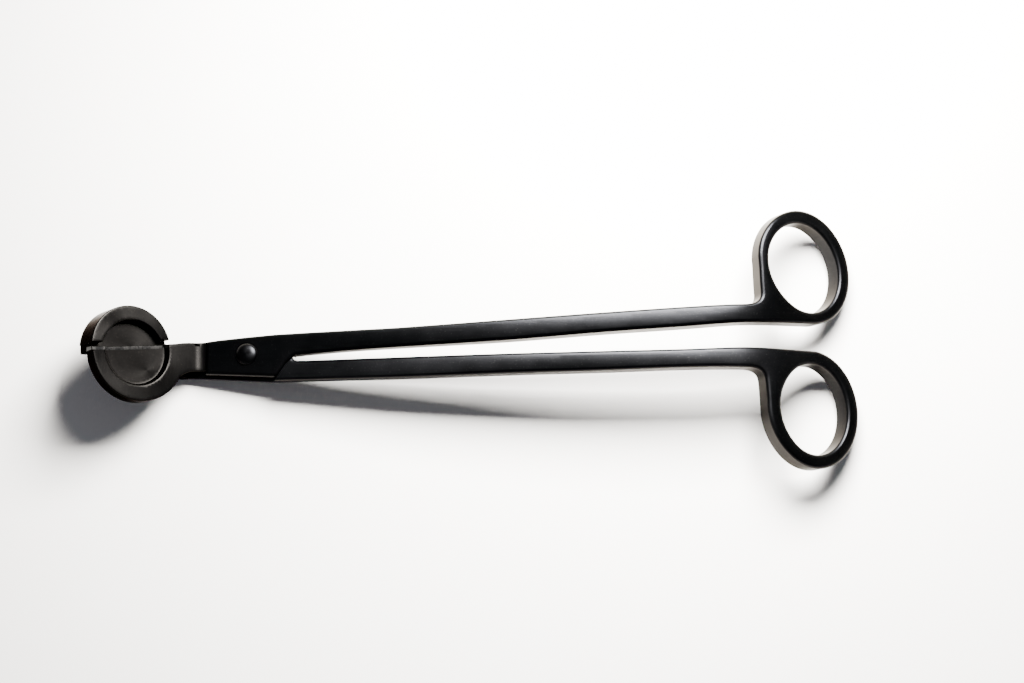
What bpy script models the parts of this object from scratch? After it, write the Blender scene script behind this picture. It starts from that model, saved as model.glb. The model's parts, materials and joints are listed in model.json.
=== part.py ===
"""Scissor-type wick trimmer in the row's frame: +X to the finger rings, +Z up.

Each lever is laid out flat as (along, across, up) in millimetres, with the bend to the
jaws at along = 0, and is then laid on the arched line of the arms.
"""
import math

import bmesh
import bpy
from mathutils import Vector
from mathutils.geometry import delaunay_2d_cdt

MM = 0.001

# Arch of the arms: (distance from the bend, slope in degrees), straight between.
ARCH = ((0.0, 10.0), (24.0, 10.0), (60.0, 7.0), (95.0, 3.0), (114.0, 0.0),
        (120.0, -7.5), (126.0, -20.0), (131.0, -27.5), (160.0, -29.5))
ARCH_STEP = 0.5

# Lap joint and its rivet.
LAP_THICK = 3.0
ARM_THICK = 4.8
THICK_FROM, THICK_TO = 24.0, 105.0
HALF_GAP = 0.15
PIVOT_AT = 9.5
BORE_RADIUS = 1.95
SHANK_RADIUS = 1.65
HEAD_RADIUS, HEAD_HEIGHT = 2.5, 1.05
SEAT_GAP = 0.15
WASHER_RADIUS, WASHER_THICK = 2.9, 0.5
COLLAR_RADIUS, COLLAR_THICK = 2.3, 0.8

# Head: a plane that rises from the bend at this angle to the lap.
HEAD_ANGLE = 45.5
BEND_RADIUS = 3.4
SEAM_GAP = 0.3
JAW_GAP = 0.3

# Dished blade on the top lever, in the head plane: (outward, across) from the bend.
BLADE_CENTRE, BLADE_RADIUS = (17.5, -0.42), 11.7
BLADE_THICK = 3.2
DISH_CENTRE, DISH_RADIUS, DISH_DEPTH, DISH_SLOPE = (17.95, -0.6), 7.95, 1.5, 0.4
EDGE_ROOT, EDGE_SLOPE = 3.2, -0.14
EDGE_LAND = 0.85
NECK_LOW = ((-1.0, -3.6), (0.2, -3.6), (1.0, -3.62), (1.8, -3.66), (2.6, -3.72),
            (3.46, -3.8))
NECK_HIGH = ((3.46, 2.85), (2.6, 2.93), (1.8, 3.0), (1.0, 3.07), (0.2, 3.13),
             (-1.0, 3.2))

# Catch jaw under the blade.
CATCH_CENTRE, CATCH_RADIUS = (18.9, -0.2), 10.0
POCKET_CENTRE, POCKET_RADIUS = (18.4, -1.35), 7.9
RIM_TOP, RIM_BOTTOM, PLATE_BOTTOM = 1.2, 7.4, 7.0
RIM_CLEAR = 1.1
PLATE_UNDERLAP = 1.0
CATCH_NECK_LOW, CATCH_NECK_HIGH = -4.9, 2.0
CATCH_SEAM = -4.9

# Finger holes and the rings round them: (centre, half length, half width, lean).
TOP_HOLE = ((136.35, 19.25), 10.5, 9.05, 113.0)
TOP_RING = ((136.75, 19.5), 13.35, 11.7, 113.0)
BOTTOM_HOLE = ((138.15, 13.32), 10.38, 8.95, 85.0)
BOTTOM_RING = ((138.2, 13.32), 13.5, 12.0, 85.0)

# Arm edges: (along, inner edge, outer edge), both measured away from the other arm.
TOP_ARM = ((23.0, -0.3, 4.7), (34.0, 0.3, 4.95), (46.0, 0.75, 5.25), (69.0, 1.6, 6.35),
           (91.0, 3.05, 7.6), (109.0, 4.2, 8.7), (121.0, 5.25, 9.5))
BOTTOM_ARM = ((23.0, 1.8, 6.35), (46.0, 1.65, 6.4), (69.0, 1.45, 6.05), (91.0, 1.25, 5.7),
              (109.0, 0.95, 5.15), (122.5, 0.3, 4.9))
# Outer corner between arm and ring: straight side from the ring, then the corner.
TOP_FILLET = (((124.95, 18.0), (125.05, 15.0), (125.2, 12.4)), (125.35, 9.6))
BOTTOM_FILLET = (((126.1, 11.2), (125.95, 9.2), (125.8, 7.6)), (125.65, 5.0))

# Lap plan: corner and crotch of the diagonal shoulder between the two arms.
SHOULDER_LOW, SHOULDER_MID, SHOULDER_HIGH = (16.2, -5.45), (18.45, -2.25), (19.95, -0.95)
SHOULDER_CLEAR = 0.4
LAP_SWING = 7.15

# Edge rounding as (inset, drop) steps from the side wall to the face.
ARM_EDGE = ((0.0, 1.0), (0.13, 0.5), (0.45, 0.15), (1.05, 0.0))
BACK_EDGE = ((0.0, 0.4), (0.15, 0.1), (0.42, 0.0))
HEAD_EDGE = ((0.0, 0.28), (0.08, 0.08), (0.3, 0.0))
FINE_EDGE = ((0.0, 0.12), (0.12, 0.0))

FINISHES = {
    "top_lever": (0.020, 0.020, 0.021),
    "bottom_lever": (0.022, 0.022, 0.023),
    "dished_blade": (0.060, 0.058, 0.056),
    "catch_plate": (0.050, 0.049, 0.048),
    "catch_rim": (0.045, 0.044, 0.043),
    "rivet": (0.028, 0.028, 0.029),
    "pivot_washer": (0.110, 0.110, 0.112),
    "pivot_collar": (0.035, 0.035, 0.036),
}


def arch_table():
    """Return the arch as (distance, x, z, slope) rows, level at the bend."""
    rows = []
    x = z = 0.0
    count = int(ARCH[-1][0] / ARCH_STEP)
    for i in range(count + 1):
        at = i * ARCH_STEP
        slope = interpolate(ARCH, at)
        if rows:
            middle = math.radians((slope + rows[-1][3]) / 2)
            x += math.cos(middle) * ARCH_STEP
            z += math.sin(middle) * ARCH_STEP
        rows.append((at, x, z, slope))
    return rows


def interpolate(table, at):
    """Return the second column of a sorted table at a value of the first."""
    if at <= table[0][0]:
        return table[0][1]
    for (a, va), (b, vb) in zip(table, table[1:]):
        if at <= b:
            return va + (vb - va) * (at - a) / (b - a)
    return table[-1][1]


ARCH_ROWS = arch_table()


def lay_on_arch(point):
    """Carry a flat (along, across, up) point onto the arch."""
    along, across, up = point
    place = max(0.0, min(along / ARCH_STEP, len(ARCH_ROWS) - 1.001))
    i = int(place)
    part = place - i
    a, b = ARCH_ROWS[i], ARCH_ROWS[i + 1]
    x, z, slope = (a[k] + (b[k] - a[k]) * part for k in (1, 2, 3))
    tilt = math.radians(slope)
    beyond = along - (a[0] + (b[0] - a[0]) * part)
    return Vector((x + beyond * math.cos(tilt) - up * math.sin(tilt), across,
                   z + beyond * math.sin(tilt) + up * math.cos(tilt)))


def from_head(point):
    """Carry an (outward, across, depth) point of the head to flat coordinates.

    The head's upper face is straight beyond the bend, an arc through it, and level
    with the lap before it.
    """
    outward, across, depth = point
    angle = math.radians(HEAD_ANGLE)
    past = outward - BEND_RADIUS * math.tan(angle)
    turn = min(max(angle + past / BEND_RADIUS, 0.0), angle)
    along = max(past, 0.0) * math.cos(angle) + min(past + BEND_RADIUS * angle, 0.0)
    rise = max(past, 0.0) * math.sin(angle)
    reach = BEND_RADIUS + depth
    return Vector((-along - reach * math.sin(turn), across,
                   LAP_THICK + BEND_RADIUS + rise - reach * math.cos(turn)))


def thickness(along):
    """Thickness of the arm, growing from the lap to the rings."""
    return interpolate(((THICK_FROM, LAP_THICK), (THICK_TO, ARM_THICK)), along)


def smooth_through(stations, step):
    """Return (x, y) points on a cubic through the stations, evenly spaced in x."""
    points = []
    x = stations[0][0]
    while x < stations[-1][0] + 1e-6:
        i = max(k for k in range(len(stations) - 1) if stations[k][0] <= x + 1e-9)
        (x0, y0), (x1, y1) = stations[i], stations[i + 1]
        before = stations[i - 1] if i else stations[i]
        after = stations[i + 2] if i + 2 < len(stations) else stations[i + 1]
        m0 = (y1 - before[1]) / (x1 - before[0])
        m1 = (after[1] - y0) / (after[0] - x0)
        t, h = (x - x0) / (x1 - x0), x1 - x0
        y = ((2 * t**3 - 3 * t**2 + 1) * y0 + (t**3 - 2 * t**2 + t) * h * m0
             + (3 * t**2 - 2 * t**3) * y1 + (t**3 - t**2) * h * m1)
        points.append((x, y))
        x += step
    return points


def arc(centre, radius, start, end, count):
    """Return count points of a circular arc, angles in degrees."""
    steps = [start + (end - start) * i / (count - 1) for i in range(count)]
    return [(centre[0] + radius * math.cos(math.radians(a)),
             centre[1] + radius * math.sin(math.radians(a))) for a in steps]


def oval(centre, long_half, wide_half, lean, start, end, count):
    """Return points of an ellipse whose long axis leans by an angle in degrees."""
    ax, ay = math.cos(math.radians(lean)), math.sin(math.radians(lean))
    points = []
    for i in range(count):
        t = math.radians(start + (end - start) * i / (count - 1) - lean)
        p, q = long_half * math.cos(t), wide_half * math.sin(t)
        points.append((centre[0] + p * ax - q * ay, centre[1] + p * ay + q * ax))
    return points


def bezier(a, corner, b, count):
    """Return points between a and b of a curve that rounds off the corner."""
    points = []
    for i in range(1, count):
        t = i / count
        points.append(tuple((1 - t)**2 * p + 2 * t * (1 - t) * c + t**2 * q
                            for p, c, q in zip(a, corner, b)))
    return points


def rounded(points, radii):
    """Return a polygon with the listed corners {index: radius} rounded off."""
    result = []
    for i, corner in enumerate(points):
        if i not in radii:
            result.append(corner)
            continue
        here = Vector(corner)
        to_last = (Vector(points[i - 1]) - here).normalized()
        to_next = (Vector(points[(i + 1) % len(points)]) - here).normalized()
        start, end = here + to_last * radii[i], here + to_next * radii[i]
        result.append(tuple(start))
        result.extend(bezier(tuple(start), corner, tuple(end), 4))
        result.append(tuple(end))
    return result


def signed_area(points):
    """Return the signed area of a polygon."""
    return sum(a[0] * b[1] - b[0] * a[1]
               for a, b in zip(points, points[1:] + points[:1])) / 2


def inset(points, distance):
    """Return a counter-clockwise polygon moved inward by a distance."""
    moved = []
    for i, here in enumerate(points):
        here = Vector(here)
        along_in = (here - Vector(points[i - 1])).normalized()
        along_out = (Vector(points[(i + 1) % len(points)]) - here).normalized()
        n_in = Vector((-along_in.y, along_in.x))
        n_out = Vector((-along_out.y, along_out.x))
        middle = (n_in + n_out).normalized()
        reach = distance / max(0.45, middle.dot(n_out))
        moved.append(tuple(here + middle * reach))
    return moved


def inside(point, polygon):
    """Say whether a point lies inside a polygon."""
    x, y = point
    hit = False
    for (x0, y0), (x1, y1) in zip(polygon, polygon[1:] + polygon[:1]):
        if (y0 > y) != (y1 > y) and x < (x1 - x0) * (y - y0) / (y1 - y0) + x0:
            hit = not hit
    return hit


def cap_triangles(outer, hole):
    """Triangulate a polygon with an optional hole; indices run outer then hole."""
    points = list(outer) + list(hole)
    edges = [(i, (i + 1) % len(outer)) for i in range(len(outer))]
    edges += [(len(outer) + i, len(outer) + (i + 1) % len(hole))
              for i in range(len(hole))]
    result = delaunay_2d_cdt([Vector(p) for p in points], edges, [], 0, 1e-6)
    faces, originals = result[2], result[3]
    triangles = []
    for face in faces:
        ids = [originals[v][0] for v in face]
        centre = [sum(points[i][k] for i in ids) / 3 for k in (0, 1)]
        if inside(centre, outer) and not (hole and inside(centre, hole)):
            triangles.append(ids)
    return triangles


def plate(outline, hole, low, high, low_edge, high_edge, carry):
    """Return a bmesh of a flat outline given thickness, rounded edges and a shape.

    low and high give the two faces' heights at a point, and carry takes the flat
    (x, y, height) point to where it belongs.
    """
    if signed_area(outline) < 0:
        outline = outline[::-1]
    if hole and signed_area(hole) < 0:
        hole = hole[::-1]
    mesh = bmesh.new()
    steps = [(i, d, False) for i, d in reversed(low_edge)]
    steps += [(i, d, True) for i, d in high_edge]
    rows = []
    for amount, drop, upper in steps:
        flat = inset(outline, amount) + (inset(hole, -amount) if hole else [])
        row = []
        for p in flat:
            height = high(p[0]) - drop if upper else low(p[0]) + drop
            row.append(mesh.verts.new(carry((p[0], p[1], height))))
        rows.append((flat, row))
    loops = [range(len(outline))]
    if hole:
        loops.append(range(len(outline), len(outline) + len(hole)))
    for (_, below), (_, above) in zip(rows, rows[1:]):
        for loop in loops:
            ids = list(loop)
            for a, b in zip(ids, ids[1:] + ids[:1]):
                mesh.faces.new((below[a], below[b], above[b], above[a]))
    for flat, row in (rows[0], rows[-1]):
        count = len(outline)
        for ids in cap_triangles(flat[:count], flat[count:]):
            mesh.faces.new([row[i] for i in ids])
    bmesh.ops.recalc_face_normals(mesh, faces=mesh.faces)
    return mesh


def flat(point):
    """Leave a flat point where it is."""
    return Vector(point)


def level(value):
    """Return a height function that is the same everywhere."""
    return lambda _: value


def block(outline, low, high):
    """Return a sharp-edged prism as a bmesh, in flat coordinates."""
    return plate(outline, [], level(low), level(high), ((0.0, 0.0),), ((0.0, 0.0),),
                 flat)


def turned(profile, centre, count=40):
    """Return a bmesh turned from (radius, height) points; a first and last of 0 close."""
    mesh = bmesh.new()
    rings = []
    for radius, height in profile:
        if radius == 0.0:
            rings.append([mesh.verts.new((centre[0], centre[1], height))])
        else:
            rings.append([mesh.verts.new((x, y, height)) for x, y in
                          arc(centre, radius, 0, 360 - 360 / count, count)])
    pairs = list(zip(rings, rings[1:]))
    if profile[0][0] != 0.0:
        pairs.append((rings[-1], rings[0]))
    for a, b in pairs:
        for i in range(count):
            j = (i + 1) % count
            corners = [a[i % len(a)], a[j % len(a)], b[j % len(b)], b[i % len(b)]]
            mesh.faces.new(list(dict.fromkeys(corners)))
    bmesh.ops.recalc_face_normals(mesh, faces=mesh.faces)
    return mesh


def as_object(name, mesh):
    """Put a bmesh, in millimetres, into the scene as a named object in metres."""
    data = bpy.data.meshes.new(name)
    mesh.to_mesh(data)
    mesh.free()
    item = bpy.data.objects.new(name, data)
    bpy.context.collection.objects.link(item)
    return item


def cut(mesh, cutters):
    """Subtract cutter bmeshes from a bmesh with the exact solver."""
    item = as_object("work", mesh)
    for cutter in cutters:
        tool = as_object("cutter", cutter)
        change = item.modifiers.new("cut", 'BOOLEAN')
        change.operation, change.solver, change.object = 'DIFFERENCE', 'EXACT', tool
        shaped = item.evaluated_get(bpy.context.evaluated_depsgraph_get())
        data = bpy.data.meshes.new_from_object(shaped)
        item.modifiers.clear()
        item.data = data
        bpy.data.objects.remove(tool)
    result = bmesh.new()
    result.from_mesh(item.data)
    bpy.data.objects.remove(item)
    return result


def trim(mesh, point, normal):
    """Keep the part of a bmesh behind a plane, and close it."""
    whole = mesh.verts[:] + mesh.edges[:] + mesh.faces[:]
    found = bmesh.ops.bisect_plane(mesh, geom=whole, dist=1e-5, plane_co=point,
                                   plane_no=normal, clear_outer=True)
    rim = [e for e in found["geom_cut"] if isinstance(e, bmesh.types.BMEdge)]
    bmesh.ops.contextual_create(mesh, geom=rim)
    bmesh.ops.recalc_face_normals(mesh, faces=mesh.faces)


def carried(mesh, carry):
    """Move every point of a bmesh by a function."""
    bmesh.ops.triangulate(mesh, faces=[f for f in mesh.faces if len(f.verts) > 4])
    for vertex in mesh.verts:
        vertex.co = carry(vertex.co)
    return mesh


def finished(name, mesh, round_edges=math.radians(32)):
    """Clean a bmesh in place on the arch, name it and give it its own finish."""
    bmesh.ops.remove_doubles(mesh, verts=mesh.verts, dist=0.02)
    bmesh.ops.dissolve_degenerate(mesh, edges=mesh.edges, dist=0.01)
    bmesh.ops.triangulate(mesh, faces=mesh.faces)
    bmesh.ops.recalc_face_normals(mesh, faces=mesh.faces)
    item = as_object(name, mesh)
    item.data.shade_smooth()
    item.data.set_sharp_from_angle(angle=round_edges)
    finish = bpy.data.materials.new(name + "_finish")
    finish.use_nodes = True
    shader = finish.node_tree.nodes["Principled BSDF"]
    shader.inputs["Base Color"].default_value = (*FINISHES[name], 1.0)
    shader.inputs["Metallic"].default_value = 0.9
    shader.inputs["Roughness"].default_value = 0.35
    item.data.materials.append(finish)
    return item


def ring_and_arm(arm, ring, fillet):
    """Return the outline of an arm's inner edge, ring, fillet and outer edge."""
    centre, long_half, wide_half, lean = ring
    straight, corner = fillet
    inner = smooth_through([(s, y) for s, y, _ in arm], 3.5)
    outer = smooth_through([(s, y) for s, _, y in arm], 3.5)
    loop = oval(centre, long_half, wide_half, lean, -86, 196, 64)
    side = min(loop[32:], key=lambda p: p[0])
    loop = [p for p in loop if p[1] >= side[1] or p[0] > centre[0] - 1.0]
    loop += straight
    run = [(loop[0][0] - (loop[0][0] - inner[-1][0]) * t,
            loop[0][1] - (loop[0][1] - inner[-1][1]) * t) for t in (0.75, 0.5, 0.25)]
    bend = bezier(loop[-1], corner, outer[-1], 7)
    return inner + run + loop + bend + outer[::-1]


def ring_hole(hole):
    """Return the outline of a finger hole."""
    centre, long_half, wide_half, lean = hole
    return oval(centre, long_half, wide_half, lean, 0, 354, 60)


def mirrored(points):
    """Return points with the across value reversed."""
    return [(x, -y) for x, y in points]


def make_top_lever():
    """Top lever: arm and ring, with the upper half of the lap joint."""
    edge = ring_and_arm(TOP_ARM, TOP_RING, TOP_FILLET)
    lap = rounded([(16.0, 4.5), (9.9, 4.12), (3.0, 3.6), (-SEAM_GAP / 2, 3.25),
                   (-SEAM_GAP / 2, -4.45), (3.0, -4.62), SHOULDER_LOW, SHOULDER_MID,
                   SHOULDER_HIGH, (20.55, -0.5), (21.9, -0.42)], {6: 0.9})
    body = plate(edge + lap, ring_hole(TOP_HOLE), level(0.0), thickness, BACK_EDGE,
                 ARM_EDGE, flat)
    split = LAP_THICK / 2 + HALF_GAP
    lower_half = block([(-2.0, -9.0), (PIVOT_AT, -9.0), (24.0, -9.0), (20.3, -1.2),
                        (20.3, 0.1), (16.45, 4.35), (16.1, 9.0), (-2.0, 9.0)],
                       -2.0, split)
    bore = turned(((0.0, -1.0), (BORE_RADIUS, -1.0), (BORE_RADIUS, 5.0), (0.0, 5.0)),
                  (PIVOT_AT, 0.0))
    return finished("top_lever", carried(cut(body, [lower_half, bore]), placed))


def make_bottom_lever():
    """Bottom lever: the other arm and ring, with the lower half of the lap joint."""
    edge = mirrored(ring_and_arm(BOTTOM_ARM, BOTTOM_RING, BOTTOM_FILLET))
    swing = arc((PIVOT_AT, 0.0), LAP_SWING, 28, 62, 5)
    end = CATCH_SEAM + SEAM_GAP / 2
    lap = rounded([(15.0, -6.3), (8.0, -5.75), (0.0, -5.15), (end, CATCH_NECK_LOW),
                   (end, CATCH_NECK_HIGH), (3.0, 2.3), (9.9, 2.9), (12.3, 3.1)], {})
    shelf = [swing[i] for i in range(len(swing) - 1, -1, -1) if swing[i][1] < 3.6]
    tip = [(19.5, -0.3), (20.0, -1.05), (20.6, -1.6), (21.6, -1.78)]
    body = plate(edge + lap + shelf + tip,
                 mirrored(ring_hole(BOTTOM_HOLE)), level(0.0), thickness, BACK_EDGE,
                 ARM_EDGE, flat)
    split = LAP_THICK / 2 - HALF_GAP
    low, mid, high = Vector(SHOULDER_LOW), Vector(SHOULDER_MID), Vector(SHOULDER_HIGH)
    way, bend = (mid - low).normalized(), (high - mid).normalized()
    start = low + Vector((way.y, -way.x)) * SHOULDER_CLEAR - way * 6.0
    turn = mid + Vector((way.y, -way.x)) * SHOULDER_CLEAR
    stop = high + Vector((bend.y, -bend.x)) * SHOULDER_CLEAR + bend * 0.8
    upper_half = block([(-6.0, -12.0), tuple(start), tuple(turn), tuple(stop),
                        (19.9, 6.0), (-6.0, 9.0)], split, 8.0)
    bore = turned(((0.0, -1.0), (SHANK_RADIUS + 0.1, -1.0), (SHANK_RADIUS + 0.1, 5.0),
                   (0.0, 5.0)), (PIVOT_AT, 0.0))
    return finished("bottom_lever", carried(cut(body, [upper_half, bore]), placed))


def edge_line(outward):
    """Across position of the cutting edge at a distance outward."""
    return EDGE_ROOT + EDGE_SLOPE * outward


def make_dished_blade():
    """Blade on the top lever's neck: half round, dished, with a ground straight edge."""
    tip = BLADE_CENTRE[0] + BLADE_RADIUS - 0.02
    outline = list(NECK_HIGH[::-1]) + [(5.0, 2.7), (6.5, 2.48), (8.0, 2.14)]
    outline += [(x, edge_line(x)) for x in (9.5, 12.5, 15.5, 18.5, 21.5, 24.5, 27.2)]
    outline += arc(BLADE_CENTRE, BLADE_RADIUS, -2, -155, 52)
    outline += bezier(outline[-1], (6.0, -4.6), (4.0, -3.88), 5)
    outline += [(4.0, -3.88)] + list(NECK_LOW[::-1])
    body = plate([(x, y) for x, y in outline if x < tip], [], level(0.0),
                 level(BLADE_THICK), HEAD_EDGE, FINE_EDGE, flat)
    dish = turned(((0.0, -1.0), (DISH_RADIUS + 0.6, -1.0), (DISH_RADIUS, 0.02),
                   (DISH_RADIUS - 0.15, 0.35), (DISH_RADIUS - DISH_SLOPE, DISH_DEPTH - 0.2),
                   (DISH_RADIUS - DISH_SLOPE - 0.35, DISH_DEPTH), (0.0, DISH_DEPTH)),
                  DISH_CENTRE, 64)
    x0, x1 = 8.6, 30.0
    land = block([(x0, edge_line(x0) - EDGE_LAND), (x1, edge_line(x1) - EDGE_LAND),
                  (x1, edge_line(x1) + 3.0), (x0, edge_line(x0) + 3.0)], -1.0, 0.45)
    body = carried(cut(body, [dish, land]), from_head)
    trim(body, (0.0, 0.0, LAP_THICK / 2 + HALF_GAP), (0.0, 0.0, -1.0))
    trim(body, (-SEAM_GAP * 1.5, 0.0, 0.0), (1.0, 0.0, 0.0))
    return finished("dished_blade", carried(body, placed))


def catch_line(outward, shift):
    """Across position of a line parallel to the cutting edge."""
    return edge_line(outward) + shift


def circle_meets(centre, radius, shift, sign):
    """Angle at which a circle meets a line parallel to the cutting edge."""
    best = min(range(0, 3600), key=lambda k: meet_error(centre, radius, shift, sign, k))
    return best / 10.0


def meet_error(centre, radius, shift, sign, tenths):
    """Distance from a line of the circle's point at an angle in tenths of a degree."""
    angle = math.radians(tenths / 10.0)
    if math.cos(angle) * sign < 0:
        return 1e9
    x = centre[0] + radius * math.cos(angle)
    y = centre[1] + radius * math.sin(angle)
    return abs(y - catch_line(x, shift))


def make_catch_plate():
    """Half disc under the blade, with the neck that joins it to the bottom lever."""
    far_low = circle_meets(CATCH_CENTRE, CATCH_RADIUS, -PLATE_UNDERLAP, 1) - 360
    far_high = circle_meets(CATCH_CENTRE, CATCH_RADIUS, RIM_CLEAR - JAW_GAP, 1)
    near_high = circle_meets(CATCH_CENTRE, CATCH_RADIUS, RIM_CLEAR - JAW_GAP, -1)
    inner = POCKET_RADIUS - JAW_GAP
    inner_far = circle_meets(POCKET_CENTRE, inner, RIM_CLEAR - JAW_GAP, 1)
    inner_near = circle_meets(POCKET_CENTRE, inner, RIM_CLEAR - JAW_GAP, -1)
    outline = [(x, CATCH_NECK_LOW) for x in (0.0, 1.0, 1.8, 2.6, 3.46)]
    outline += [(4.5, -4.7), (6.5, -3.6)]
    outline += [(x, catch_line(x, -PLATE_UNDERLAP)) for x in (9.0, 13.0, 17.0, 21.0, 25.0)]
    outline += arc(CATCH_CENTRE, CATCH_RADIUS, far_low, far_high - 360
                   if far_high > 180 else far_high, 6)
    outline += arc(POCKET_CENTRE, inner, inner_far, inner_near, 40)
    outline += arc(CATCH_CENTRE, CATCH_RADIUS, near_high, near_high + 3, 2)
    outline += [(7.2, CATCH_NECK_HIGH + 0.2)]
    outline += [(x, CATCH_NECK_HIGH) for x in (5.0, 3.46, 2.6, 1.8, 1.0, 0.0)]
    top = BLADE_THICK + JAW_GAP
    body = plate(outline, [], level(top), level(PLATE_BOTTOM), FINE_EDGE, HEAD_EDGE,
                 from_head)
    trim(body, (0.0, 0.0, 0.0), (0.0, 0.0, -1.0))
    trim(body, (CATCH_SEAM - SEAM_GAP / 2, 0.0, 0.0), (1.0, 0.0, 0.0))
    return finished("catch_plate", carried(body, placed))


def make_catch_rim():
    """Crescent wall round the catch plate, standing above it to hold the cut wick."""
    far = circle_meets(CATCH_CENTRE, CATCH_RADIUS, RIM_CLEAR, 1)
    near = circle_meets(CATCH_CENTRE, CATCH_RADIUS, RIM_CLEAR, -1)
    inner_far = circle_meets(POCKET_CENTRE, POCKET_RADIUS, RIM_CLEAR, 1)
    inner_near = circle_meets(POCKET_CENTRE, POCKET_RADIUS, RIM_CLEAR, -1)
    outline = arc(CATCH_CENTRE, CATCH_RADIUS, far, near, 48)
    outline += arc(POCKET_CENTRE, POCKET_RADIUS, inner_near, inner_far, 44)
    body = plate(outline, [], level(RIM_TOP), level(RIM_BOTTOM), HEAD_EDGE,
                 FINE_EDGE, from_head)
    return finished("catch_rim", carried(body, placed))


def make_rivet():
    """Rivet: domed head over the top lever and a shank through both halves."""
    base = LAP_THICK + SEAT_GAP
    foot = -(SEAT_GAP * 3 + WASHER_THICK + COLLAR_THICK)
    profile = [(0.0, foot), (SHANK_RADIUS - 0.3, foot), (SHANK_RADIUS, foot + 0.3),
               (SHANK_RADIUS, base), (HEAD_RADIUS, base), (HEAD_RADIUS, base + 0.2)]
    for turn in (25, 45, 62, 77):
        angle = math.radians(turn)
        profile.append((HEAD_RADIUS * math.cos(angle),
                        base + 0.2 + (HEAD_HEIGHT - 0.2) * math.sin(angle)))
    profile.append((0.0, base + HEAD_HEIGHT))
    return finished("rivet", carried(turned(profile, (PIVOT_AT, 0.0)), placed))


def make_washer():
    """Flat washer on the shank, under the bottom lever."""
    top = -SEAT_GAP
    inner = SHANK_RADIUS + 0.15
    profile = ((inner, top), (WASHER_RADIUS - 0.1, top), (WASHER_RADIUS, top - 0.1),
               (WASHER_RADIUS, top - WASHER_THICK + 0.1),
               (WASHER_RADIUS - 0.1, top - WASHER_THICK), (inner, top - WASHER_THICK))
    return finished("pivot_washer", carried(turned(profile, (PIVOT_AT, 0.0)), placed))


def make_collar():
    """Collar pressed on the end of the shank, which keeps the washer on."""
    top = -SEAT_GAP * 2 - WASHER_THICK
    inner = SHANK_RADIUS + 0.1
    profile = ((inner, top), (COLLAR_RADIUS, top),
               (COLLAR_RADIUS, top - COLLAR_THICK + 0.25),
               (COLLAR_RADIUS - 0.25, top - COLLAR_THICK), (inner, top - COLLAR_THICK))
    return finished("pivot_collar", carried(turned(profile, (PIVOT_AT, 0.0)), placed))


def placed(point):
    """Carry a flat point to the arch."""
    return lay_on_arch(point)


def lowest(points, keep):
    """Return the lowest of the points that a test keeps."""
    return min((p for p in points if keep(p)), key=lambda p: p.z)


def set_down(items):
    """Lay the trimmer on the ground on its bend and both rings, centred on the origin."""
    vertices = [v for item in items for v in item.data.vertices]
    for _ in range(6):
        points = [v.co for v in vertices]
        bend = lowest(points, lambda p: p.x < 40.0)
        ring_a = lowest(points, lambda p: p.x > 100.0 and p.y > 2.0)
        ring_b = lowest(points, lambda p: p.x > 100.0 and p.y < 2.0)
        normal = (ring_b - bend).cross(ring_a - bend).normalized()
        turn = normal.rotation_difference(Vector((0.0, 0.0, 1.0))).to_matrix()
        for vertex in vertices:
            vertex.co = turn @ vertex.co
    low = Vector([min(v.co[k] for v in vertices) for k in range(3)])
    high = Vector([max(v.co[k] for v in vertices) for k in range(3)])
    shift = Vector(((low.x + high.x) / 2, (low.y + high.y) / 2, low.z))
    for vertex in vertices:
        vertex.co = (vertex.co - shift) * MM
    for item in items:
        item.data.update()


def main():
    """Build the trimmer."""
    for item in list(bpy.data.objects):
        bpy.data.objects.remove(item)
    items = [make_top_lever(), make_bottom_lever(), make_dished_blade(),
             make_catch_plate(), make_catch_rim(), make_rivet(), make_washer(),
             make_collar()]
    set_down(items)


main()
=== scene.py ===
"""Looks of a scissor-type wick trimmer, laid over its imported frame.

Sizes are in millimetres and are turned to metres as each mesh is made. A lever is drawn
as a flat blank (along, across, up) and laid on the arch of the arms by a node tree; the
jaws are drawn in the plane of the head (outward, across, depth).
"""
import json
import logging
import math
from dataclasses import dataclass, field
from enum import Enum
from typing import Callable, Optional, Sequence

import bmesh
import bpy
import numpy as np
from mathutils import Matrix, Vector
from mathutils.geometry import delaunay_2d_cdt


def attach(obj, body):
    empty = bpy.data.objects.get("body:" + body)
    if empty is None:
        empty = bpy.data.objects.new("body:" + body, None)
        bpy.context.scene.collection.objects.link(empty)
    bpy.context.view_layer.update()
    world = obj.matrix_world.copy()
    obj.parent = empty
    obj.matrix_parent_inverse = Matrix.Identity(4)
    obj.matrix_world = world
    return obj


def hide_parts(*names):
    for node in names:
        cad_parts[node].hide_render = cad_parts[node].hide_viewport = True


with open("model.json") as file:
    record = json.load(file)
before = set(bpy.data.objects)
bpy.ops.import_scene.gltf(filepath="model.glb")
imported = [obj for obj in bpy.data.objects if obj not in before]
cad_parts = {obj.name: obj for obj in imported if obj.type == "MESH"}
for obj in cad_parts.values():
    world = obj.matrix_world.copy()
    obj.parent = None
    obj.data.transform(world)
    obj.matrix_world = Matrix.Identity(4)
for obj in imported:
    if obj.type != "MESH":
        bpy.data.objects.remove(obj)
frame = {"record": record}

LOG = logging.getLogger("wick_trimmer")
MM = 0.001
FAR = 1e9
BATCH = 2000
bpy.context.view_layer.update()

Point = tuple[float, float]
Height = Callable[[np.ndarray], np.ndarray]


# --------------------------------------------------------------------- small helpers

def linear(code: str) -> tuple[float, float, float, float]:
    """Turn an sRGB hex colour into linear RGBA.

    Args:
        code: Six hex digits, with or without a leading #.

    Returns:
        Linear red, green and blue with an alpha of 1.
    """
    digits = code.lstrip("#")
    values = [int(digits[i:i + 2], 16) / 255 for i in (0, 2, 4)]
    out = [v / 12.92 if v <= 0.04045 else ((v + 0.055) / 1.055) ** 2.4 for v in values]
    return (out[0], out[1], out[2], 1.0)


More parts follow.
